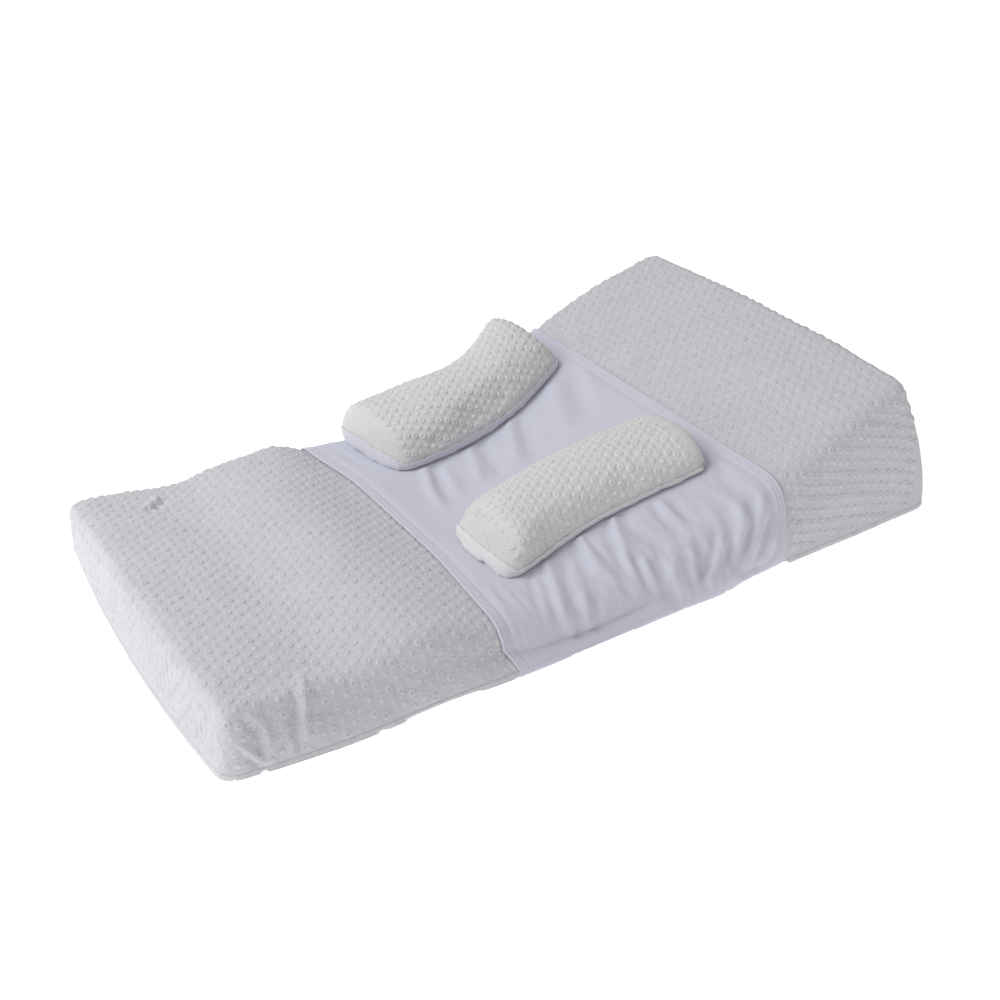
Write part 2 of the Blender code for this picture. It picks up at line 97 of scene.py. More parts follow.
# Folds in the band: height (a trough is below 0), half width, then points by along and girth, which is the
# distance from the middle line over the top and down the side. Each is strongest near its first point.
BAND_FOLDS = (
    # height, half_width, points (along, girth)
    # below the front bolster
    (-0.0020, 0.0040, ((0.334, -0.128), (0.329, -0.139), (0.320, -0.164), (0.313, -0.186), (0.312, -0.205))),
    (-0.0018, 0.0040, ((0.344, -0.128), (0.332, -0.168), (0.325, -0.190), (0.322, -0.225))),
    (0.0022, 0.0048, ((0.350, -0.128), (0.339, -0.166), (0.331, -0.190), (0.326, -0.225))),
    (-0.0020, 0.0040, ((0.362, -0.140), (0.352, -0.165), (0.344, -0.185), (0.338, -0.205), (0.330, -0.232))),
    (0.0018, 0.0040, ((0.342, -0.190), (0.334, -0.205), (0.326, -0.232))),
    (0.0020, 0.0042, ((0.356, -0.180), (0.350, -0.200), (0.346, -0.220), (0.340, -0.236))),
    (-0.0028, 0.0045, ((0.381, -0.122), (0.376, -0.150), (0.371, -0.167), (0.365, -0.190), (0.352, -0.215))),
    (0.0030, 0.0055, ((0.391, -0.124), (0.384, -0.150), (0.382, -0.170), (0.388, -0.188), (0.392, -0.200))),
    (-0.0020, 0.0042, ((0.372, -0.170), (0.383, -0.181), (0.395, -0.193), (0.404, -0.206))),
    (-0.0030, 0.0048, ((0.424, -0.120), (0.414, -0.142), (0.405, -0.165), (0.401, -0.180), (0.402, -0.195))),
    (0.0028, 0.0055, ((0.430, -0.122), (0.420, -0.146), (0.412, -0.170), (0.409, -0.190), (0.412, -0.205))),
    (-0.0026, 0.0045, ((0.440, -0.124), (0.435, -0.145), (0.438, -0.163), (0.447, -0.181), (0.456, -0.190))),
    (-0.0024, 0.0040, ((0.417, -0.172), (0.414, -0.186), (0.416, -0.200), (0.424, -0.216))),
    (0.0020, 0.0045, ((0.424, -0.176), (0.421, -0.192), (0.427, -0.210))),
    (-0.0032, 0.0055, ((0.436, -0.180), (0.430, -0.200), (0.434, -0.220), (0.446, -0.236), (0.458, -0.244))),
    (0.0030, 0.0080, ((0.446, -0.186), (0.442, -0.202), (0.448, -0.218), (0.458, -0.228))),
    (-0.0026, 0.0042, ((0.469, -0.134), (0.464, -0.156), (0.467, -0.176), (0.474, -0.186))),
    (0.0024, 0.0050, ((0.474, -0.134), (0.472, -0.156), (0.476, -0.174))),
    (-0.0024, 0.0042, ((0.484, -0.144), (0.481, -0.160), (0.483, -0.182))),
    (-0.0026, 0.0044, ((0.476, -0.186), (0.470, -0.203), (0.472, -0.219), (0.470, -0.234))),
    (0.0022, 0.0045, ((0.468, -0.190), (0.463, -0.205), (0.463, -0.224))),
    (-0.0024, 0.0045, ((0.494, -0.190), (0.487, -0.200), (0.478, -0.212), (0.472, -0.222))),
    (0.0026, 0.0055, ((0.497, -0.198), (0.487, -0.211), (0.473, -0.226), (0.463, -0.238))),
    (-0.0030, 0.0050, ((0.512, -0.178), (0.508, -0.192), (0.503, -0.206), (0.497, -0.219), (0.488, -0.232))),
    (0.0028, 0.0060, ((0.524, -0.184), (0.518, -0.200), (0.508, -0.214), (0.498, -0.228))),
    (-0.0032, 0.0050, ((0.536, -0.180), (0.530, -0.198), (0.521, -0.213), (0.508, -0.229), (0.498, -0.243))),
    (0.0028, 0.0055, ((0.542, -0.190), (0.534, -0.206), (0.525, -0.222), (0.509, -0.238))),
    (-0.0026, 0.0045, ((0.550, -0.198), (0.545, -0.210), (0.536, -0.225), (0.525, -0.239), (0.515, -0.247))),
    (0.0020, 0.0045, ((0.556, -0.214), (0.548, -0.228), (0.538, -0.242))),
    (-0.0022, 0.0042, ((0.556, -0.226), (0.550, -0.244), (0.543, -0.258))),
    (-0.0022, 0.0050, ((0.538, -0.140), (0.532, -0.160), (0.530, -0.176), (0.534, -0.184))),
    (0.0026, 0.0070, ((0.506, -0.246), (0.524, -0.254), (0.546, -0.262), (0.560, -0.268))),
    (-0.0022, 0.0038, ((0.504, -0.238), (0.524, -0.246), (0.546, -0.254))),
    # between the bolsters
    (0.0024, 0.0060, ((0.349, 0.098), (0.340, 0.070), (0.330, 0.045), (0.322, 0.010), (0.318, -0.020))),
    (-0.0028, 0.0055, ((0.359, 0.098), (0.352, 0.070), (0.343, 0.042), (0.334, 0.010))),
    (0.0022, 0.0065, ((0.402, 0.100), (0.396, 0.074), (0.385, 0.045), (0.372, 0.010))),
    (-0.0028, 0.0055, ((0.416, 0.102), (0.412, 0.074), (0.405, 0.045), (0.396, 0.012))),
    (0.0026, 0.0075, ((0.458, 0.104), (0.446, 0.078), (0.432, 0.050), (0.416, 0.012))),
    (-0.0026, 0.0070, ((0.466, 0.094), (0.456, 0.064), (0.446, 0.040), (0.432, 0.008))),
    (0.0028, 0.0100, ((0.520, 0.112), (0.508, 0.086), (0.494, 0.056), (0.478, 0.016))),
    (-0.0026, 0.0080, ((0.543, 0.114), (0.532, 0.088), (0.520, 0.060), (0.506, 0.020))),
    (0.0014, 0.0080, ((0.556, 0.108), (0.540, 0.076), (0.528, 0.040))),
    (0.0012, 0.0060, ((0.362, 0.076), (0.354, 0.040), (0.345, 0.010))),
    # down the back
    (0.0024, 0.0080, ((0.338, 0.190), (0.344, 0.215), (0.342, 0.240))),
    (-0.0022, 0.0060, ((0.360, 0.192), (0.362, 0.215), (0.358, 0.238))),
    (0.0028, 0.0090, ((0.416, 0.198), (0.410, 0.222), (0.414, 0.246))),
    (-0.0024, 0.0070, ((0.440, 0.200), (0.436, 0.225), (0.444, 0.246))),
    (0.0026, 0.0090, ((0.500, 0.206), (0.508, 0.232), (0.504, 0.262))),
    (-0.0022, 0.0070, ((0.524, 0.214), (0.530, 0.240), (0.522, 0.268))),
)
FOLD_FADE_IN, FOLD_FADE_OUT = 0.10, 0.45
TROUGH_POWER = 1.4  # below 2 the foot of a trough is sharper than the crest of a ridge
FOLD_ROOM = 0.0020  # the cloth stands this far off the pad, so that a trough has room
FINE_SIZE, FINE_HEIGHT = (0.0065, 0.050), 0.0011  # fine wrinkles down the sides, along and down

# The hem seen from its edge inwards: how far the cloth stands above the single layer
HEM_PROFILE = (
    # from_edge, rise
    (0.0000, -0.0004),
    (0.0005, 0.0006),
    (0.0012, 0.0012),
    (0.0022, 0.0012),
    (0.0034, 0.0003),
    (0.0046, 0.0011),
    (0.0058, 0.0011),
    (0.0070, 0.0003),
    (0.0080, 0.0011),
    (0.0088, 0.0008),
    (0.0094, 0.0001),
    (0.0102, -0.0001),
    (0.0115, 0.0),
)
STITCH_LINES = (0.0034, 0.0070)  # from the hem's edge
STITCH_SIZE = (0.0012, 0.00035, 0.00045)  # half length, half width, rise

# A bubble of the knit, by distance from its middle: its rise, and the painted highlight and shade put into
# the cloth's colour, lighter on the crest and darker in its hollows
RING = (
    # radius, rise, painted highlight and shade
    (0.0000, 0.00030, -0.050),
    (0.0011, 0.00045, -0.030),
    (0.0023, 0.00100, 0.060),
    (0.0033, 0.00060, 0.010),
    (0.0044, -0.00010, -0.045),
)
DOT = (
    (0.0000, 0.00095, 0.060),
    (0.0010, 0.00085, 0.050),
    (0.0019, 0.00050, 0.010),
    (0.0027, 0.00020, -0.030),
    (0.0034, -0.00010, -0.045),
)
BUBBLE_SIDES = 8
BUBBLE_STRAY, SIZE_SPREAD, RISE_SPREAD = 0.00025, 0.08, 0.25


def colour_of(name, description, default):
    return FloatVectorProperty(
        name=name, description=description, subtype="COLOR", size=3, default=default, min=0.0, max=1.0,
    )


def length_of(name, description, default, low, high):
    return FloatProperty(
        name=name, description=description, subtype="DISTANCE", unit="LENGTH", default=default, min=low,
        max=high,
    )


class PadLooks(bpy.types.PropertyGroup):
    """The pad's cover and the knit that it shares with the bolsters."""

    colour: colour_of("Cover colour", "Colour of the bubble knit on the pad", (0.565, 0.570, 0.598))
    unevenness: length_of(
        "Unevenness", "How far the soft cover strays from the foam's shape", 0.0012, 0.0, 0.005
    )
    row_pitch: length_of("Row pitch", "Distance between rows of bubbles along the pad", 0.0090, 0.005, 0.03)
    bubble_pitch: length_of("Bubble pitch", "Distance between bubbles in a row", 0.0118, 0.005, 0.03)


class BandLooks(bpy.types.PropertyGroup):
    """The jersey band."""

    colour: colour_of("Band colour", "Colour of the jersey", (0.575, 0.580, 0.665))
    thickness: length_of("Cloth thickness", "Thickness of the jersey", 0.0016, 0.0005, 0.003)
    fold_strength: FloatProperty(
        name="Fold strength", description="How deep the folds are, as a share of their table's heights",
        subtype="FACTOR", default=1.35, min=0.0, max=2.0,
    )
    stitch_pitch: length_of("Stitch pitch", "Distance between stitches on the hems", 0.0030, 0.001, 0.01)
    thread_colour: colour_of("Thread colour", "Colour of the sewing thread", (0.72, 0.72, 0.78))


class BolsterLooks(bpy.types.PropertyGroup):
    """The two side bolsters and their base panels."""

    colour: colour_of("Bolster colour", "Colour of the bubble knit on the bolsters", (0.655, 0.650, 0.650))
    front_base_colour: colour_of(
        "Front base colour", "Colour of the smooth cloth under the front bolster", (0.72, 0.72, 0.725)
    )
    back_base_colour: colour_of(
        "Back base colour", "Colour of the smooth cloth under the back bolster", (0.66, 0.66, 0.72)
    )
    row_pitch: length_of("Row pitch", "Distance between rows of bubbles along a bolster", 0.0076, 0.005, 0.03)
    bubble_pitch: length_of(
        "Bubble pitch", "Distance between bubbles in a row on a bolster", 0.0098, 0.005, 0.03
    )
    pressure: FloatProperty(
        name="Filling pressure", description="Pressure of the filling on the cover", default=4.0, min=0.0,
        max=20.0,
    )
    swell: length_of("Largest swell", "How far the filling may push the cover out", 0.0030, 0.0, 0.01)
    frames: IntProperty(
        name="Steps", description="Steps of the cloth's movement", default=20, min=1, max=60,
    )


class StageLooks(bpy.types.PropertyGroup):
    """Floor, light and camera."""

    floor_colour: colour_of("Floor colour", "Colour of the floor", (0.93, 0.93, 0.93))
    sky: FloatProperty(
        name="Soft light", description="Strength of the light from all round", default=0.45, min=0.0, max=5.0,
    )
    floor_glow: FloatProperty(
        name="Floor glow", description="Extra light from the floor, as over a lit sweep", default=0.60,
        min=0.0, max=5.0,
    )
    key: FloatProperty(
        name="Main light", description="Power of the large light above the foot end", subtype="POWER",
        unit="POWER", default=30.0, min=0.0, max=500.0,
    )


class SleepPadLooks(bpy.types.PropertyGroup):
    """All that a user would change."""

    pad: PointerProperty(type=PadLooks)
    band: PointerProperty(type=BandLooks)
    bolsters: PointerProperty(type=BolsterLooks)
    stage: PointerProperty(type=StageLooks)


def looks():
    return bpy.context.scene.sleep_pad


SAME_PLACE = 1e-5  # points nearer than this are one point


def smooth(value):
    """0 below 0, 1 above 1, with soft ends; takes arrays too."""
    value = np.clip(value, 0.0, 1.0)
    return value * value * (3 - 2 * value)


def link(obj):
    bpy.context.scene.collection.objects.link(obj)
    return obj


def object_from(name, source):
    """A new object from a bmesh, which is used up."""
    mesh = bpy.data.meshes.new(name)
    source.to_mesh(mesh)
    source.free()
    return link(bpy.data.objects.new(name, mesh))


def merged_copy(node):
    """A CAD node's mesh as a bmesh of one closed skin."""
    skin = bmesh.new()
    skin.from_mesh(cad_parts[node].data)
    bmesh.ops.remove_doubles(skin, verts=skin.verts, dist=SAME_PLACE)
    return skin


def apply_modifiers(obj):
    graph = bpy.context.evaluated_depsgraph_get()
    mesh = bpy.data.meshes.new_from_object(obj.evaluated_get(graph), depsgraph=graph)
    old = obj.data
    obj.modifiers.clear()
    obj.data = mesh
    bpy.data.meshes.remove(old)
    mesh.name = obj.name
    return obj


def remesh(obj, voxel):
    change = obj.modifiers.new("even grid", "REMESH")
    change.mode = "VOXEL"
    change.voxel_size = voxel
    return apply_modifiers(obj)


def subdivide(obj, times=1):
    change = obj.modifiers.new("finer", "SUBSURF")
    change.levels = change.render_levels = times
    return apply_modifiers(obj)


def thicken(obj, thickness, offset):
    """Gives the cloth its thickness; an offset of 1 adds it outside, and of -1 inside."""
    wall = obj.modifiers.new("cloth", "SOLIDIFY")
    wall.thickness = thickness
    wall.offset = offset
    wall.use_rim = True
    apply_modifiers(obj)
    keep_normals(obj)


def relax(skin, verts, times):
    """Draws points towards the middle of their neighbours."""
    for _ in range(times):
        bmesh.ops.smooth_vert(
            skin, verts=verts, factor=0.5, use_axis_x=True, use_axis_y=True, use_axis_z=True
        )


def soften(obj, times):
    skin = bmesh.new()
    skin.from_mesh(obj.data)
    relax(skin, list(skin.verts), times)
    skin.to_mesh(obj.data)
    skin.free()
    return obj


def points_of(mesh):
    points = np.empty(len(mesh.vertices) * 3, np.float32)
    mesh.vertices.foreach_get("co", points)
    return points.reshape(-1, 3).astype(np.float64)


def normals_of(mesh):
    normals = np.empty(len(mesh.vertices) * 3, np.float32)
    mesh.vertex_normals.foreach_get("vector", normals)
    return normals.reshape(-1, 3).astype(np.float64)


def set_points(mesh, points):
    mesh.vertices.foreach_set("co", points.astype(np.float32).ravel())
    mesh.update()


def store(mesh, name, values):
    """Keeps a number or a vector at each point, for materials and for laying small shapes on the cloth."""
    kind = "FLOAT" if values.ndim == 1 else "FLOAT_VECTOR"
    attribute = mesh.attributes.get(name) or mesh.attributes.new(name, kind, "POINT")
    attribute.data.foreach_set("value" if kind == "FLOAT" else "vector", values.astype(np.float32).ravel())


def walked_along(points):
    """The distance from the first point to each, along the line through them."""
    return np.concatenate([[0.0], np.cumsum(np.linalg.norm(np.diff(points, axis=0), axis=1))])


def distance_to_line(points, line):
    """For each point, the distance to a line of several points and how far along it the nearest place is."""
    line = np.asarray(line, np.float64)
    runs = np.linalg.norm(np.diff(line, axis=0), axis=1)
    starts = np.concatenate([[0.0], np.cumsum(runs)])
    best = np.full(len(points), np.inf)
    share = np.zeros(len(points))
    for a, b, run, start in zip(line[:-1], line[1:], runs, starts):
        t = np.clip(((points - a) @ (b - a)) / run**2, 0, 1)
        away = np.linalg.norm(points - (a + t[:, None] * (b - a)), axis=1)
        nearer = away < best
        best[nearer] = away[nearer]
        share[nearer] = ((start + t * run) / starts[-1])[nearer]
    return best, share


def unevenness(points, size, seed):
    """Slow random waves of height about 1 and the given size."""
    return np.array([noise.noise(Vector(point / size) + Vector((seed, 2 * seed, 0))) for point in points])


class Skin:
    """A closed skin cut across by planes that stand on a middle line, and measured round each cut."""

    def __init__(self, obj, origin, direction):
        mesh = obj.data
        self.points = points_of(mesh)
        self.edges = np.empty(len(mesh.edges) * 2, np.int32)
        mesh.edges.foreach_get("vertices", self.edges)
        self.edges = self.edges.reshape(-1, 2)
        self.direction = np.array((*direction, 0.0)) / np.hypot(*direction)
        self.sideways = np.array((-self.direction[1], self.direction[0], 0.0))
        self.along = (self.points - np.array((*origin, 0.0))) @ self.direction
        self.across = (self.points - np.array((*origin, 0.0))) @ self.sideways

    def cut(self, station):
        """Points round the cut in order, with their girth from the middle of the top, negative towards -Y."""
        first, second = self.edges.T
        before, after = self.along[first] - station, self.along[second] - station
        crossing = before * after < 0
        first, second = first[crossing], second[crossing]
        share = (before / (before - after + 1e-30))[crossing][:, None]
        points = self.points[first] * (1 - share) + self.points[second] * share
        across = self.across[first] * (1 - share[:, 0]) + self.across[second] * share[:, 0]
        middle = (points[:, 2].max() + points[:, 2].min()) / 2
        turn = np.arctan2(across, points[:, 2] - middle)
        order = np.argsort(turn)
        points, turn = points[order], turn[order]
        top = np.array([np.interp(0, turn, points[:, axis]) for axis in range(3)])
        where = np.searchsorted(turn, 0)
        points = np.insert(points, where, top, axis=0)
        bottom = (points[0] + points[-1]) / 2
        points = np.vstack([bottom, points, bottom])
        girth = walked_along(points)
        return girth - girth[where + 1], points


def at_girth(cut, girth):
    return np.stack([np.interp(girth, cut[0], cut[1][:, axis]) for axis in range(3)], axis=-1)


FORMS = {}
SEAM_HEIGHT = 0.0056  # of the cover's lower seam
JOIN_ANGLE = 1.2  # radians between two triangles that make one cell
SHARP_ANGLE, EDGE_CREASE = 0.9, 0.65
EDGE_KEPT = 0.006  # up to this height the cloth keeps the solid's own lower edge


def pad_form():
    """The foam pad as one smooth skin, which the cover and the band lie on."""
    if "pad" not in FORMS:
        skin = merged_copy("cushion")
        bmesh.ops.join_triangles(
            skin, faces=skin.faces, angle_face_threshold=JOIN_ANGLE, angle_shape_threshold=JOIN_ANGLE
        )
        crease = skin.edges.layers.float.new("crease_edge")
        for edge in skin.edges:
            if edge.calc_face_angle(0.0) > SHARP_ANGLE:
                edge[crease] = EDGE_CREASE
        form = object_from("pad_form", skin)
        subdivide(form, 2)
        foam = tree_of(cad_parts["cushion"])
        points = points_of(form.data)
        share = 1 - smooth((points[:, 2] - EDGE_KEPT) / EDGE_KEPT)
        for i in np.flatnonzero(share > 0):
            nearest = np.array(foam.find_nearest(Vector(points[i]))[0])
            points[i] += share[i] * (nearest - points[i])
        set_points(form.data, points)
        FORMS["pad"] = form
        bpy.context.scene.collection.objects.unlink(form)
    return FORMS["pad"]


def refine(obj, lines, reach, longest):
    """Cuts the cloth's cells finer round the given lines."""
    skin = bmesh.new()
    skin.from_mesh(obj.data)
    centres = np.array([face.calc_center_median() for face in skin.faces])
    near = np.zeros(len(centres), bool)
    for line in lines:
        near |= distance_to_line(centres, line)[0] < reach
    skin.faces.ensure_lookup_table()
    faces = [skin.faces[i] for i in np.flatnonzero(near)]
    edges = {edge for face in faces for edge in face.edges if edge.calc_length() > longest}
    bmesh.ops.subdivide_edges(skin, edges=list(edges), cuts=2, use_grid_fill=True, smooth=0.0)
    skin.to_mesh(obj.data)
    skin.free()
    return obj


def tree_of(obj):
    mesh = obj.data
    polygons = [tuple(polygon.vertices) for polygon in mesh.polygons]
    return BVHTree.FromPolygons([vert.co for vert in mesh.vertices], polygons)


# Materials


def node(tree, kind, **settings):
    made = tree.nodes.new(kind)
    for name, value in settings.items():
        if name in made.inputs:
            made.inputs[name].default_value = value
        else:
            setattr(made, name, value)
    return made


def new_cloth(name, colour, roughness, sheen):
    material = bpy.data.materials.new(name)
    material.use_nodes = True
    tree = material.node_tree
    shader = tree.nodes["Principled BSDF"]
    shader.inputs["Base Color"].default_value = (*colour, 1)
    shader.inputs["Roughness"].default_value = roughness
    shader.inputs["Metallic"].default_value = 0.0
    shader.inputs["Specular IOR Level"].default_value = 0.25
    shader.inputs["Sheen Weight"].default_value = sheen
    shader.inputs["Sheen Roughness"].default_value = 0.6
    return material, tree, shader


def multiply(tree, first, second):
    made = node(tree, "ShaderNodeMath", operation="MULTIPLY")
    for socket, value in zip(made.inputs, (first, second)):
        if isinstance(value, (int, float)):
            socket.default_value = value
        else:
            tree.links.new(value, socket)
    return made.outputs[0]


def add(tree, first, second):
    result = multiply(tree, first, second)
    result.node.operation = "ADD"
    return result


def tinted(tree, colour, amount):
    """The colour times 1 + amount, where amount is a socket."""
    scale = add(tree, amount, 1.0)
    mix = node(tree, "ShaderNodeVectorMath", operation="SCALE")
    mix.inputs[0].default_value = colour
    tree.links.new(scale, mix.inputs["Scale"])
    return mix.outputs[0]


def textured(tree, kind, coordinates, **settings):
    made = node(tree, kind, **settings)
    tree.links.new(coordinates, made.inputs["Vector"])
    return made


def about_middle(tree, texture, amount):
    """A noise texture as a change of shade, lighter and darker by up to half the amount."""
    return multiply(tree, add(tree, texture.outputs[0], -0.5), amount)


def add_relief(tree, shader, height, strength, distance):
    bump = node(tree, "ShaderNodeBump", Strength=strength, Distance=distance)
    tree.links.new(height, bump.inputs["Height"])
    tree.links.new(bump.outputs[0], shader.inputs["Normal"])


def knit_cloth(name, colour, seam=None):
    """Bubble knit: loops of about a millimetre, fine fibre, a little unevenness of colour, and the painted
    highlight and shade that the bubbles carry. seam is the height of a seam that runs round the cloth's lower
    edge."""
    material, tree, shader = new_cloth(name, colour, 0.92, 0.12)
    coordinates = tree.nodes.new("ShaderNodeTexCoord").outputs["Object"]
    loops = textured(tree, "ShaderNodeTexVoronoi", coordinates, Scale=560.0, Randomness=0.85)
    fibre = textured(tree, "ShaderNodeTexNoise", coordinates, Scale=900.0, Detail=4.0, Roughness=0.7)
    mottle = textured(tree, "ShaderNodeTexNoise", coordinates, Scale=190.0, Detail=2.0, Roughness=0.5)
    cloud = textured(tree, "ShaderNodeTexNoise", coordinates, Scale=28.0, Detail=3.0, Roughness=0.55)
    # painted highlight and shade of the bubbles, lighter crests and darker hollows, added to the cloth's
    # colour
    shade = node(tree, "ShaderNodeAttribute", attribute_name="shade")
    parts = [
        multiply(tree, add(tree, loops.outputs["Distance"], -0.45), -0.16),
        about_middle(tree, cloud, 0.10),
        about_middle(tree, mottle, 0.20),
        about_middle(tree, fibre, 0.20),
        shade.outputs["Fac"],
    ]
    height = add(tree, multiply(tree, loops.outputs["Distance"], -0.6), multiply(tree, fibre.outputs[0], 0.7))
    if seam:
        line = seam_line(tree, coordinates, seam)
        parts.append(multiply(tree, line, -0.16))
        height = add(tree, height, multiply(tree, line, -1.5))
    amount = parts[0]
    for part in parts[1:]:
        amount = add(tree, amount, part)
    tree.links.new(tinted(tree, colour, amount), shader.inputs["Base Color"])
    add_relief(tree, shader, height, 0.45, 0.0005)
    return material


def seam_line(tree, coordinates, height):
    """1 on a narrow level line at this height, and 0 away from it."""
    split = tree.nodes.new("ShaderNodeSeparateXYZ")
    tree.links.new(coordinates, split.inputs[0])
    offset = node(tree, "ShaderNodeMath", operation="ABSOLUTE")
    tree.links.new(add(tree, split.outputs["Z"], -height), offset.inputs[0])
    ramp = node(tree, "ShaderNodeMapRange", interpolation_type="SMOOTHSTEP")
    ramp.inputs["From Min"].default_value = 0.0003
    ramp.inputs["From Max"].default_value = 0.0011
    ramp.inputs["To Min"].default_value = 1.0
    ramp.inputs["To Max"].default_value = 0.0
    tree.links.new(offset.outputs[0], ramp.inputs["Value"])
    return ramp.outputs[0]


def jersey_cloth(name, colour):
    """Fine jersey: faint ribs that run across the pad, fine fibre and a soft sheen."""
    material, tree, shader = new_cloth(name, colour, 0.80, 0.18)
    coordinates = tree.nodes.new("ShaderNodeTexCoord").outputs["Object"]
    rib = textured(tree, "ShaderNodeTexWave", coordinates, Scale=57.5, Distortion=0.6, Detail=1.0)
    rib.bands_direction = "X"
    fibre = textured(tree, "ShaderNodeTexNoise", coordinates, Scale=1300.0, Detail=3.0, Roughness=0.7)
    cloud = textured(tree, "ShaderNodeTexNoise", coordinates, Scale=22.0, Detail=2.0, Roughness=0.5)
    # painted highlight and shade, read where a mesh carries it, added to the cloth's colour
    shade = node(tree, "ShaderNodeAttribute", attribute_name="shade")
    uneven = add(tree, about_middle(tree, cloud, 0.05), about_middle(tree, fibre, 0.05))
    amount = add(tree, uneven, shade.outputs["Fac"])
    tree.links.new(tinted(tree, colour, amount), shader.inputs["Base Color"])
    height = add(tree, multiply(tree, rib.outputs[0], 0.35), multiply(tree, fibre.outputs[0], 0.5))
    add_relief(tree, shader, height, 0.2, 0.0003)
    return material


def finish_piece(obj, material):
    """Every piece is shaded smooth, takes its cloth and rides on the one body."""
    obj.data.materials.clear()
    obj.data.materials.append(material)
    obj.data.shade_smooth()
    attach(obj, "root")
    return obj


# Small shapes laid on the cloth


def laid_flat(obj):
    """Lays a small shape flat, and keeps each point's rise beside it."""
    points = points_of(obj.data)
    store(obj.data, "rise", points[:, 2].copy())
    points[:, 2] = 0
    set_points(obj.data, points)
    return obj


def bubble_shape(name, profile):
    """A bubble turned from its profile, laid flat, with its rise and its painted highlight and shade kept at
    each point.
    """
    shape = bmesh.new()
    verts = [shape.verts.new((radius, 0, rise)) for radius, rise, _ in profile]
    edges = [shape.edges.new(pair) for pair in zip(verts[:-1], verts[1:])]
    bmesh.ops.spin(
        shape, geom=verts + edges, cent=(0, 0, 0), axis=(0, 0, 1), dvec=(0, 0, 0),
        angle=2 * math.pi, steps=BUBBLE_SIDES, use_merge=True, use_duplicate=False,
    )
    bmesh.ops.remove_doubles(shape, verts=shape.verts, dist=1e-6)
    bmesh.ops.recalc_face_normals(shape, faces=shape.faces)
    if sum(face.normal.z for face in shape.faces) < 0:
        bmesh.ops.reverse_faces(shape, faces=shape.faces)
    obj = laid_flat(object_from(name, shape))
    points = points_of(obj.data)
    columns = np.array(profile)
    radius = np.hypot(points[:, 0], points[:, 1])
    # the painted highlight and shade of each point: lighter on the crest, darker in the hollows
    store(obj.data, "shade", np.interp(radius, columns[:, 0], columns[:, 2]))
    return obj


def laying_group():
    """Geometry Nodes: a shape at each point, turned to the cloth, then every point of it settled on the cloth
    and raised by its own rise."""
    name = "lay on the cloth"
    if name in bpy.data.node_groups:
        return bpy.data.node_groups[name]
    tree = bpy.data.node_groups.new(name, "GeometryNodeTree")
    face = tree.interface
    face.new_socket("Geometry", in_out="INPUT", socket_type="NodeSocketGeometry")
    face.new_socket("Shape", in_out="INPUT", socket_type="NodeSocketObject")
    face.new_socket("Cloth", in_out="INPUT", socket_type="NodeSocketObject")
    face.new_socket("Geometry", in_out="OUTPUT", socket_type="NodeSocketGeometry")
    source = tree.nodes.new("NodeGroupInput").outputs
    links = tree.links

    def named(attribute, kind):
        made = node(tree, "GeometryNodeInputNamedAttribute", data_type=kind)
        made.inputs["Name"].default_value = attribute
        return made.outputs["Attribute"]

    def info(which):
        made = tree.nodes.new("GeometryNodeObjectInfo")
        links.new(source[which], made.inputs["Object"])
        return made.outputs["Geometry"]

    shape, cloth = info("Shape"), info("Cloth")

    def cloth_normal():
        made = node(tree, "GeometryNodeSampleNearestSurface", data_type="FLOAT_VECTOR")
        links.new(cloth, made.inputs["Mesh"])
        links.new(named("skin_normal", "FLOAT_VECTOR"), made.inputs["Value"])
        return made.outputs["Value"]

    upright = node(tree, "FunctionNodeAlignRotationToVector", axis="Z")
    links.new(cloth_normal(), upright.inputs["Vector"])
    turned = node(tree, "FunctionNodeAlignRotationToVector", axis="X", pivot_axis="Z")
    links.new(upright.outputs[0], turned.inputs["Rotation"])
    links.new(named("heading", "FLOAT_VECTOR"), turned.inputs["Vector"])
    placed = tree.nodes.new("GeometryNodeInstanceOnPoints")
    links.new(source["Geometry"], placed.inputs["Points"])
    links.new(shape, placed.inputs["Instance"])
    links.new(turned.outputs[0], placed.inputs["Rotation"])
    links.new(named("size", "FLOAT"), placed.inputs["Scale"])
    real = tree.nodes.new("GeometryNodeRealizeInstances")
    links.new(placed.outputs[0], real.inputs[0])
    nearest = node(tree, "GeometryNodeProximity", target_element="FACES")
    links.new(cloth, nearest.inputs[0])
    height = node(tree, "ShaderNodeMath", operation="MULTIPLY")
    links.new(named("rise", "FLOAT"), height.inputs[0])
    links.new(named("strength", "FLOAT"), height.inputs[1])
    raised = node(tree, "ShaderNodeVectorMath", operation="SCALE")
    links.new(cloth_normal(), raised.inputs[0])
    links.new(height.outputs[0], raised.inputs["Scale"])
    total = node(tree, "ShaderNodeVectorMath", operation="ADD")
    links.new(nearest.outputs["Position"], total.inputs[0])
    links.new(raised.outputs[0], total.inputs[1])
    settled = tree.nodes.new("GeometryNodeSetPosition")
    links.new(real.outputs[0], settled.inputs["Geometry"])
    links.new(total.outputs[0], settled.inputs["Position"])
    links.new(settled.outputs[0], tree.nodes.new("NodeGroupOutput").inputs[0])
    return tree


def lay_shapes(name, places, shape, cloth):
    """places holds point, heading, size and strength columns; gives one plain object."""
    seeds = bpy.data.meshes.new(name)
    seeds.vertices.add(len(places))
    set_points(seeds, places[:, 0:3])
    store(seeds, "heading", places[:, 3:6])
    store(seeds, "size", places[:, 6])
    store(seeds, "strength", places[:, 7])
    obj = link(bpy.data.objects.new(name, seeds))
    change = obj.modifiers.new("lay", "NODES")
    change.node_group = laying_group()
    for item in change.node_group.interface.items_tree:
        if item.in_out == "INPUT" and item.name in ("Shape", "Cloth"):
            change[item.identifier] = {"Shape": shape, "Cloth": cloth}[item.name]
    return apply_modifiers(obj)


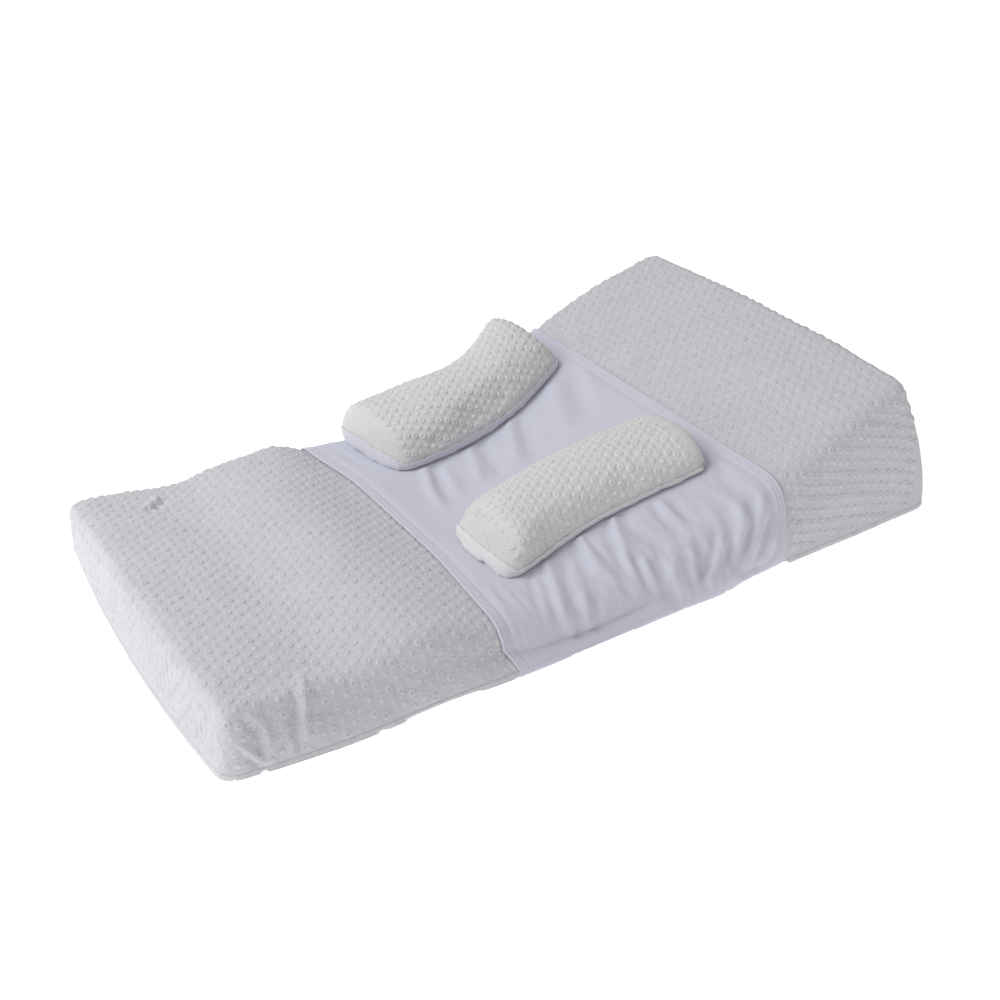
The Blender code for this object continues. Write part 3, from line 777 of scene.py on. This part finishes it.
def joined(name, parts):
    """One object from several, which are removed."""
    whole = bmesh.new()
    for part in parts:
        whole.from_mesh(part.data)
        bpy.data.objects.remove(part, do_unlink=True)
    return object_from(name, whole)


def keep_normals(obj):
    store(obj.data, "skin_normal", normals_of(obj.data))


def has_ring(row, column):
    """Rings and dots take turns along a row, and the rows are staggered."""
    return (column + (row + row % 2) // 2) % 2 == 0


def lattice_on(skin, stations, pitch, strength):
    """Places of the bubbles on a skin: (ring places, dot places). stations are (row number, station) pairs,
    and strength(point) is how far a bubble rises there, 0 where there is none."""
    rings, dots = [], []
    for row, station in stations:
        cut = skin.cut(station)
        first = math.ceil(cut[0][0] / pitch)
        last = math.floor(cut[0][-1] / pitch)
        for column in range(first, last):
            girth = pitch * (column + 0.5 * (row % 2))
            if not cut[0][0] < girth < cut[0][-1]:
                continue
            point = at_girth(cut, girth)
            rise = strength(point)
            if not rise:
                continue
            (rings if has_ring(row, column) else dots).append((*point, *skin.direction, 1.0, rise))
    return rings, dots


def lay_bubbles(name, rings, dots, cloth, material):
    parts = []
    chance = np.random.default_rng(len(rings) + len(dots))
    for kind, profile, places in (("ring", RING, rings), ("dot", DOT, dots)):
        places = np.array(places)
        places[:, 0:3] += chance.normal(0.0, BUBBLE_STRAY, (len(places), 3))
        places[:, 6] *= chance.uniform(1 - SIZE_SPREAD, 1 + SIZE_SPREAD, len(places))
        places[:, 7] *= chance.uniform(1 - RISE_SPREAD, 1 + RISE_SPREAD, len(places))
        shape = bubble_shape(name + "_" + kind, profile)
        parts.append(lay_shapes(name + "_" + kind + "s", places, shape, cloth))
        bpy.data.objects.remove(shape, do_unlink=True)
    return finish_piece(joined(name, parts), material)


def hem_shift(along, across, up):
    """The band's hems bow along the pad towards its two sides."""
    shift = 0.0
    for hem, side, bow, start, run in HEM_BOWS:
        near = np.maximum(0.0, 1 - np.abs(along - hem) / BOW_REACH)
        shift = shift - near * smooth((side * across - start) / run) * bow
    return shift * up


def tent(along, across):
    """How far the jersey is held up off the dip under the front bolster."""
    share = np.clip((along - TENT_START) / (TENT_END - TENT_START), 0, 1)
    front = smooth((across - TENT_FRONT) / TENT_SIDE_FRONT + 1)
    back = smooth((TENT_BACK - across) / TENT_SIDE_BACK + 1)
    return TENT_HEIGHT * np.sin(math.pi * share) ** TENT_POWER * front * back


def in_band(x, y, margin):
    """How far inside the band a place is, 1 inside and 0 outside, with a soft edge of the margin's width."""
    along = x + HALF_LENGTH
    start = BAND_START + hem_shift(BAND_START, y, 1.0)
    end = BAND_END + hem_shift(BAND_END, y, 1.0)
    return smooth((along - start) / margin + 1) * smooth((end - along) / margin + 1)


CREASE_REACH, CREASE_CELL = 0.012, 0.0024  # the cover's cells are finer than this, this near a crease
COVER_WAVES = (
    # share, size, seed
    (1.00, 0.085, 3),
    (0.45, 0.032, 7),
)
LOW_EDGE = 0.012  # below this the cover isn't pushed down


class PAD_OT_cover(bpy.types.Operator):
    """Makes the pad's bubble-knit cover on the foam's shape"""

    bl_idname = "sleep_pad.pad_cover"
    bl_label = "Pad cover"

    def execute(self, context):
        form = pad_form()
        cover = link(bpy.data.objects.new("pad_cover", form.data.copy()))
        lines = [[(x - HALF_LENGTH, y, z) for x, y, z in line] for _, _, line in PAD_CREASES]
        refine(cover, lines, CREASE_REACH, CREASE_CELL)
        mesh = cover.data
        points, normals = points_of(mesh), normals_of(mesh)
        free = 1 - in_band(points[:, 0], points[:, 1], 0.012)
        off_floor = smooth((points[:, 2] - 0.004) / 0.02)
        waves = sum(share * unevenness(points, size, seed) for share, size, seed in COVER_WAVES)
        push = looks().pad.unevenness * waves * free * off_floor
        for (height, half_width, _), line in zip(PAD_CREASES, lines):
            away, share = distance_to_line(points, line)
            fade = np.sin(math.pi * np.clip(share, 0.02, 0.98)) ** 0.5
            push += height * np.exp(-((away / half_width) ** 2)) * fade
        push *= smooth((points[:, 2] - 0.002) / 0.010)
        low = points[:, 2] < LOW_EDGE
        normals[low, 2] = np.maximum(normals[low, 2], 0)
        points += normals * push[:, None]
        set_points(mesh, points)
        keep_normals(cover)
        material = knit_cloth("bubble knit", looks().pad.colour[:], seam=SEAM_HEIGHT)
        finish_piece(cover, material)
        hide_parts("cushion")
        return {"FINISHED"}


LOWEST_BUBBLE = 0.0095
HALVES_MEET = 0.04  # the rows before this are the foot's, and the rest the head's
LOWEST_END_ROW, END_TOP_MARGIN = 0.0125, 0.006
END_COLUMNS = range(-16, 17)
END_STRENGTH = 0.55
# The end wall is where the skin faces this much along the pad, and no more than this much sideways
FACES_END, FACES_SIDE = 0.72, 0.40


class PAD_OT_bubbles(bpy.types.Operator):
    """Raises the knit's bubbles on the pad's cover, in staggered rows"""

    bl_idname = "sleep_pad.pad_bubbles"
    bl_label = "Pad bubbles"

    def execute(self, context):
        cover = bpy.data.objects["pad_cover"]
        material = cover.data.materials[0]
        skin = Skin(cover, (0, 0), (1, 0))
        pitch = looks().pad
        # row stations by distance over the top's middle line
        stations = np.linspace(-HALF_LENGTH + 0.004, HALF_LENGTH - 0.03, 300)
        heights = np.array([at_girth(skin.cut(x), 0.0)[2] for x in stations])
        walked = np.concatenate([[0.0], np.cumsum(np.hypot(np.diff(stations), np.diff(heights)))])
        rows = np.arange(0, walked[-1], pitch.row_pitch)
        places = [(i, float(x)) for i, x in enumerate(np.interp(rows, walked, stations))]

        def strength(point):
            if point[2] < LOWEST_BUBBLE or in_band(point[0], point[1], 0.002) > 0.5:
                return 0.0
            return 1.0

        halves = {
            "foot": [place for place in places if place[1] < HALVES_MEET],
            "head": [place for place in places if place[1] >= HALVES_MEET],
        }
        for part, stations in halves.items():
            rings, dots = lattice_on(skin, stations, pitch.bubble_pitch, strength)
            more = self.end_wall(cover, part, pitch)
            lay_bubbles(
                "pad_bubbles_" + part, rings + more[0], dots + more[1], cover, material
            )
        return {"FINISHED"}

    def end_wall(self, cover, part, pitch):
        """Bubbles on the upright end face, in rows one above another."""
        points = points_of(cover.data)
        tree = tree_of(cover)
        towards = -1.0 if part == "foot" else 1.0
        rings, dots = [], []
        end = points[:, 0].min() if part == "foot" else points[:, 0].max()
        top = points[(np.abs(points[:, 0] - end) < 0.06) & (np.abs(points[:, 1]) < 0.1)][:, 2].max()
        row = 0
        height = LOWEST_END_ROW
        while height < top - END_TOP_MARGIN:
            for column in END_COLUMNS:
                y = pitch.bubble_pitch * (column + 0.5 * (row % 2))
                outside = Vector((end + towards * 0.05, y, height))
                found = tree.ray_cast(outside, Vector((-towards, 0, 0)), 0.12)
                if found[0] is None or abs(found[1].x) < FACES_END or abs(found[1].y) > FACES_SIDE:
                    continue
                place = (*found[0], 0.0, 0.0, 1.0, 1.0, END_STRENGTH)
                (rings if has_ring(row, column) else dots).append(place)
            row += 1
            height += pitch.row_pitch
        return rings, dots


COVER_CELL, COVER_SOFTENING = 0.004, 3
PANEL_REACH = 0.0022  # the panel takes the cover's skin this near the CAD panel
PANEL_EASE, PANEL_THICKNESS = 0.0003, 0.0012
BUBBLE_CLEARANCE = 0.0036  # from a base panel to the nearest bubble
BOLSTER_STRENGTH = 1.15


class BOLSTER_OT_covers(bpy.types.Operator):
    """Makes the two padded bolsters, pushed out by their filling"""

    bl_idname = "sleep_pad.bolster_covers"
    bl_label = "Bolster covers"

    def execute(self, context):
        material = knit_cloth("bolster knit", looks().bolsters.colour[:])
        for name in BOLSTERS:
            self.cover(name, material)
        return {"FINISHED"}

    def cover(self, name, material):
        cover = object_from("bolster_cover_" + name, merged_copy("bolster_" + name))
        remesh(cover, COVER_CELL)
        soften(cover, COVER_SOFTENING)
        start = points_of(cover.data)
        inflate(cover, looks().bolsters)
        points = points_of(cover.data)
        moved = points - start
        length = np.linalg.norm(moved, axis=1)
        limit = np.minimum(1, looks().bolsters.swell / np.maximum(length, 1e-9))
        base = tree_of(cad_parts["bolster_" + name + "_base"])
        near = np.array([base.find_nearest(Vector(point))[3] for point in start])
        share = smooth((near - 0.003) / 0.012)
        set_points(cover.data, start + moved * (limit * share)[:, None])
        subdivide(cover)
        keep_normals(cover)
        finish_piece(cover, material)
        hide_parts("bolster_" + name)


def inflate(obj, settings):
    """Lets the filling push the cover out, and keeps the shape that it reaches."""
    change = obj.modifiers.new("filling", "CLOTH")
    change.settings.use_pressure = True
    change.settings.uniform_pressure_force = settings.pressure
    change.settings.effector_weights.gravity = 0.0
    change.settings.quality = 5
    change.point_cache.frame_start = 1
    change.point_cache.frame_end = settings.frames
    scene = bpy.context.scene
    for step in range(1, settings.frames + 1):
        scene.frame_set(step)
    apply_modifiers(obj)
    scene.frame_set(1)


class BOLSTER_OT_base_panels(bpy.types.Operator):
    """Makes the smooth base panels that turn up round the bolsters' lower edge"""

    bl_idname = "sleep_pad.base_panels"
    bl_label = "Base panels"

    def execute(self, context):
        for name in BOLSTERS:
            colour = getattr(looks().bolsters, name + "_base_colour")[:]
            self.panel(name, jersey_cloth(name + " base cloth", colour))
        return {"FINISHED"}

    def panel(self, name, material):
        cover = bpy.data.objects["bolster_cover_" + name]
        node_name = "bolster_" + name + "_base"
        base = tree_of(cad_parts[node_name])
        skin = bmesh.new()
        skin.from_mesh(cover.data)
        skin.normal_update()
        near = {vert: base.find_nearest(vert.co)[3] for vert in skin.verts}
        above = [face for face in skin.faces if min(near[vert] for vert in face.verts) > PANEL_REACH]
        bmesh.ops.delete(skin, geom=above, context="FACES")
        shift = {vert: vert.normal * PANEL_EASE for vert in skin.verts}
        for vert, move in shift.items():
            vert.co += move
        relax(skin, [vert for vert in skin.verts if vert.is_boundary], 6)
        area = sum(face.calc_area() for face in skin.faces)
        obj = object_from("base_panel_" + name, skin)
        thicken(obj, PANEL_THICKNESS, 1.0)
        finish_piece(obj, material)
        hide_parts(node_name)


class BOLSTER_OT_bubbles(bpy.types.Operator):
    """Raises the knit's bubbles on the bolsters"""

    bl_idname = "sleep_pad.bolster_bubbles"
    bl_label = "Bolster bubbles"

    def execute(self, context):
        for name, (start, end) in BOLSTERS.items():
            cover = bpy.data.objects["bolster_cover_" + name]
            panel = tree_of(bpy.data.objects["base_panel_" + name])
            run = np.subtract(end, start)
            skin = Skin(cover, (start[0] - HALF_LENGTH, start[1]), run)
            length = np.hypot(*run)
            pitch = looks().bolsters
            rows = int((length - 0.010) / pitch.row_pitch)
            stations = [(i, 0.006 + i * pitch.row_pitch) for i in range(rows)]

            def strength(point):
                clear = panel.find_nearest(Vector(point))[3] > BUBBLE_CLEARANCE
                return BOLSTER_STRENGTH if clear else 0.0

            rings, dots = lattice_on(skin, stations, pitch.bubble_pitch, strength)
            lay_bubbles(
                "bolster_bubbles_" + name, rings, dots, cover, cover.data.materials[0]
            )
        return {"FINISHED"}


BAND_COLUMNS = 112  # of cells between the hems
SHOWN_ROWS, HIDDEN_ROWS = 112, 8  # of cells from the top's middle to the floor, and on to the middle beneath


class BAND_OT_sheet(bpy.types.Operator):
    """Makes the jersey band with its folds and hems"""

    bl_idname = "sleep_pad.band"
    bl_label = "Belly band"

    def execute(self, context):
        band = looks().band
        form = pad_form()
        skin, tree = Skin(form, (0, 0), (1, 0)), tree_of(form)
        edge = [row[0] for row in HEM_PROFILE]
        inner = np.linspace(BAND_START + edge[-1], BAND_END - edge[-1], BAND_COLUMNS)[1:-1]
        columns = np.concatenate([
            [BAND_START + e for e in edge], inner, [BAND_END - e for e in reversed(edge)]
        ])
        half = SHOWN_ROWS + HIDDEN_ROWS
        grid = bmesh.new()
        bmesh.ops.create_grid(grid, x_segments=len(columns) - 1, y_segments=2 * half, size=0.5)
        cuts = [skin.cut(x - HALF_LENGTH) for x in columns]
        floors = []
        for girth, points in cuts:
            on_floor = points[:, 2] < points[0, 2] + 0.0008
            floors.append((girth[on_floor & (girth < 0)].max(), girth[on_floor & (girth > 0)].min()))
        place = {}
        for vert in grid.verts:
            i = round((vert.co.x + 0.5) * (len(columns) - 1))
            j = round((vert.co.y + 0.5) * 2 * half) - half
            girths = cuts[i][0]
            edge_girth = floors[i][0] if j < 0 else floors[i][1]
            if abs(j) <= SHOWN_ROWS:
                girth = edge_girth * abs(j) / SHOWN_ROWS
            else:
                end = girths[0] if j < 0 else girths[-1]
                girth = edge_girth + (end - edge_girth) * ((abs(j) - SHOWN_ROWS) / HIDDEN_ROWS) ** 2
            place[vert] = (columns[i], girth)
            point = at_girth(cuts[i], girth)
            top = at_girth(cuts[i], 0.0)[2]
            up = 1.0 if abs(girth) < 0.18 else min(1.0, max(point[2], 0.0) / (top - 0.02))
            point[0] += float(hem_shift(columns[i], point[1], up))
            vert.co = tree.find_nearest(Vector(point))[0]
        bmesh.ops.remove_doubles(grid, verts=grid.verts, dist=SAME_PLACE)
        relax(grid, [vert for vert in grid.verts if not vert.is_boundary and vert.co.z > 0.004], 4)
        grid.normal_update()
        if sum(vert.normal.z for vert in grid.verts if abs(place[vert][1]) < 0.1) < 0:
            bmesh.ops.reverse_faces(grid, faces=grid.faces)
            grid.normal_update()
        flat = grid.loops.layers.uv.new("cloth")
        for face in grid.faces:
            for loop in face.loops:
                loop[flat].uv = place[loop.vert]
        order = list(grid.verts)
        along = np.array([place[vert][0] for vert in order])
        girth = np.array([place[vert][1] for vert in order])
        points = np.array([vert.co for vert in order])
        normals = np.array([vert.normal for vert in order])
        lift = self.lift(along, girth, points, normals)
        points += normals * lift[:, None]
        points[:, 2] = np.maximum(points[:, 2], 0.0)
        for vert, point in zip(order, points):
            vert.co = point
        area = sum(face.calc_area() for face in grid.faces)
        obj = object_from("belly_band_cloth", grid)
        store(obj.data, "along", along)
        thicken(obj, band.thickness, -1.0)
        material = jersey_cloth("band jersey", band.colour[:])
        finish_piece(obj, material)
        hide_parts("belly_band")
        return {"FINISHED"}

    def lift(self, along, girth, points, normals):
        """How far the cloth's outer face stands off the pad."""
        band = looks().band
        low = smooth((points[:, 2] - 0.002) / 0.014)
        gap = 0.0004 + band.thickness
        from_hem = np.minimum(along - BAND_START, BAND_END - along)
        profile = np.array(HEM_PROFILE)
        hem = np.interp(from_hem, profile[:, 0], profile[:, 1])
        inside = smooth((from_hem - 0.006) / 0.012)
        folds = np.zeros(len(along))
        flat = np.stack([along, girth], axis=1)
        for height, half_width, line in BAND_FOLDS:
            away, share = distance_to_line(flat, line)
            fade = smooth(share / FOLD_FADE_IN + 0.3) * smooth((1 - share) / FOLD_FADE_OUT)
            power = TROUGH_POWER if height < 0 else 2.0
            folds += height * np.exp(-((away / half_width) ** power)) * fade
        fine = np.stack([along / FINE_SIZE[0], girth / FINE_SIZE[1], 0 * along], axis=1)
        folds += FINE_HEIGHT * unevenness(fine, 1.0, 5) * smooth((np.abs(girth) - 0.10) / 0.06)
        folds *= band.fold_strength * inside * low * beside_bolsters(points)
        folds = np.maximum(folds, -FOLD_ROOM) + FOLD_ROOM * inside * low
        slack = 0.0005 * unevenness(points, 0.045, 11) * inside * low
        return gap + hem * low + folds + slack + tent(along, points[:, 1]) * (normals[:, 2] > 0)


def beside_bolsters(points):
    """0 under a bolster, where the band lies flat, rising to 1 beside it."""
    clear = np.ones(len(points))
    for name in BOLSTERS:
        tree = tree_of(bpy.data.objects["base_panel_" + name])
        for i, point in enumerate(points):
            found = tree.ray_cast(Vector((point[0], point[1], -0.05)), Vector((0, 0, 1)))
            if found[0] is not None:
                clear[i] = 0.0
                continue
            near = tree.find_nearest(Vector(point), 0.03)
            if near[0] is not None:
                away = math.hypot(near[0].x - point[0], near[0].y - point[1])
                clear[i] = min(clear[i], float(smooth((away - 0.001) / 0.008)))
    return clear


class BAND_OT_stitching(bpy.types.Operator):
    """Sews both hems with two parallel lines of stitches"""

    bl_idname = "sleep_pad.band_stitching"
    bl_label = "Band stitching"

    def execute(self, context):
        band = looks().band
        cloth = bpy.data.objects["belly_band_cloth"]
        along = np.empty(len(cloth.data.vertices), np.float32)
        cloth.data.attributes["along"].data.foreach_get("value", along)
        points = points_of(cloth.data)
        normals = normals_of(cloth.data)
        places = []
        for edge, inwards in ((BAND_START, 1), (BAND_END, -1)):
            for line in STITCH_LINES:
                chosen = np.abs(along - (edge + inwards * line)) < 1e-5
                ring = points[chosen]
                middle = np.array((0, ring[:, 1].mean(), ring[:, 2].max() / 2))
                # the cloth has two faces, and the stitches lie on the outer one
                outward = ((ring - middle) * normals[chosen] * (0, 1, 1)).sum(axis=1) > 0
                ring = ring[outward & (ring[:, 2] > 0.003)]
                order = np.argsort(np.arctan2(ring[:, 1], ring[:, 2] - middle[2]))
                ring = ring[order]
                walked = walked_along(ring)
                steps = np.arange(0.001, walked[-1], band.stitch_pitch)
                spots = np.stack([np.interp(steps, walked, ring[:, a]) for a in range(3)], axis=1)
                ahead = np.stack([np.interp(steps + 0.002, walked, ring[:, a]) for a in range(3)], axis=1)
                for spot, heading in zip(spots, ahead - spots):
                    places.append((*spot, *heading, 1.0, 1.0))
        shape = stitch_shape()
        stitches = lay_shapes("band_stitching", np.array(places), shape, cloth)
        bpy.data.objects.remove(shape, do_unlink=True)
        material, _, _ = new_cloth("thread", band.thread_colour[:], 0.6, 0.2)
        finish_piece(stitches, material)
        return {"FINISHED"}


def stitch_shape():
    """One stitch: a short raised bead of thread."""
    shape = bmesh.new()
    bmesh.ops.create_uvsphere(shape, u_segments=6, v_segments=4, radius=1.0)
    bmesh.ops.rotate(shape, verts=shape.verts, matrix=Matrix.Rotation(math.pi / 2, 3, "Y"))
    below = [vert for vert in shape.verts if vert.co.z < -0.1]
    bmesh.ops.delete(shape, geom=below, context="VERTS")
    bmesh.ops.scale(shape, verts=shape.verts, vec=STITCH_SIZE)
    return laid_flat(object_from("stitch", shape))


FLOOR_HALF_WIDTH = 12.0
LIGHT_PLACE, LIGHT_TARGET, LIGHT_SIZE = (-1.30, 0.45, 1.70), (0, 0, 0.05), 1.6
CAMERA_PLACE = (-0.6128, -1.0657, 0.7597)
YAW, PITCH, ROLL = (math.radians(angle) for angle in (30.075, 30.595, 2.516))
SENSOR_WIDTH = 36.0  # millimetres
FOCAL_SHARE = 1.4712  # focal length as a share of the picture's width


class STAGE_OT_studio(bpy.types.Operator):
    """Sets the floor, the soft light and the camera"""

    bl_idname = "sleep_pad.studio"
    bl_label = "Studio"

    def execute(self, context):
        stage = looks().stage
        scene = bpy.context.scene
        floor = bmesh.new()
        bmesh.ops.create_grid(floor, x_segments=1, y_segments=1, size=FLOOR_HALF_WIDTH)
        floor = object_from("floor", floor)
        material, _, _ = new_cloth("pale floor", stage.floor_colour[:], 0.9, 0.0)
        shader = material.node_tree.nodes["Principled BSDF"]
        shader.inputs["Emission Color"].default_value = (1.0, 1.0, 1.0, 1)
        shader.inputs["Emission Strength"].default_value = stage.floor_glow
        floor.data.materials.append(material)
        world = bpy.data.worlds.new("soft studio")
        world.use_nodes = True
        world.node_tree.nodes["Background"].inputs["Color"].default_value = (1.0, 1.0, 1.0, 1)
        world.node_tree.nodes["Background"].inputs["Strength"].default_value = stage.sky
        scene.world = world
        light = bpy.data.lights.new("main light", "AREA")
        light.energy = stage.key
        light.shape = "DISK"
        light.size = LIGHT_SIZE
        lamp = link(bpy.data.objects.new("main_light", light))
        lamp.location = LIGHT_PLACE
        lamp.rotation_euler = (Vector(LIGHT_TARGET) - lamp.location).to_track_quat("-Z", "Y").to_euler()
        self.camera(scene)
        scene.view_settings.view_transform = "Standard"
        scene.view_settings.look = "None"
        return {"FINISHED"}

    def camera(self, scene):
        level = math.cos(PITCH)
        forward = Vector((math.sin(YAW) * level, math.cos(YAW) * level, -math.sin(PITCH)))
        right = Vector((math.cos(YAW), -math.sin(YAW), 0))
        down = forward.cross(right)
        right, down = (
            right * math.cos(ROLL) + down * math.sin(ROLL),
            down * math.cos(ROLL) - right * math.sin(ROLL),
        )
        data = bpy.data.cameras.new("camera")
        data.sensor_width = SENSOR_WIDTH
        data.lens = SENSOR_WIDTH * FOCAL_SHARE
        data.clip_end = 50
        camera = link(bpy.data.objects.new("camera", data))
        turn = Matrix((right, -down, -forward)).transposed()
        camera.matrix_world = Matrix.Translation(CAMERA_PLACE) @ turn.to_4x4()
        scene.camera = camera


STEPS = (
    STAGE_OT_studio,
    PAD_OT_cover,
    PAD_OT_bubbles,
    BOLSTER_OT_covers,
    BOLSTER_OT_base_panels,
    BOLSTER_OT_bubbles,
    BAND_OT_sheet,
    BAND_OT_stitching,
)


class PAD_PT_panel(bpy.types.Panel):
    """Lists the steps"""

    bl_idname = "PAD_PT_panel"
    bl_label = "Sleep pad"
    bl_space_type = "VIEW_3D"
    bl_region_type = "UI"
    bl_category = "Sleep pad"

    def draw(self, context):
        for step in STEPS:
            self.layout.operator(step.bl_idname)
        for group in (looks().pad, looks().band, looks().bolsters, looks().stage):
            box = self.layout.box()
            for name in group.__annotations__:
                box.prop(group, name)


CLASSES = (PadLooks, BandLooks, BolsterLooks, StageLooks, SleepPadLooks, *STEPS, PAD_PT_panel)


def register():
    for made in CLASSES:
        bpy.utils.register_class(made)
    bpy.types.Scene.sleep_pad = PointerProperty(type=SleepPadLooks)


def unregister():
    del bpy.types.Scene.sleep_pad
    for made in reversed(CLASSES):
        bpy.utils.unregister_class(made)


def main():
    register()
    for step in STEPS:
        group, name = step.bl_idname.split(".")
        getattr(getattr(bpy.ops, group), name)()


if __name__ == "__main__":
    main()
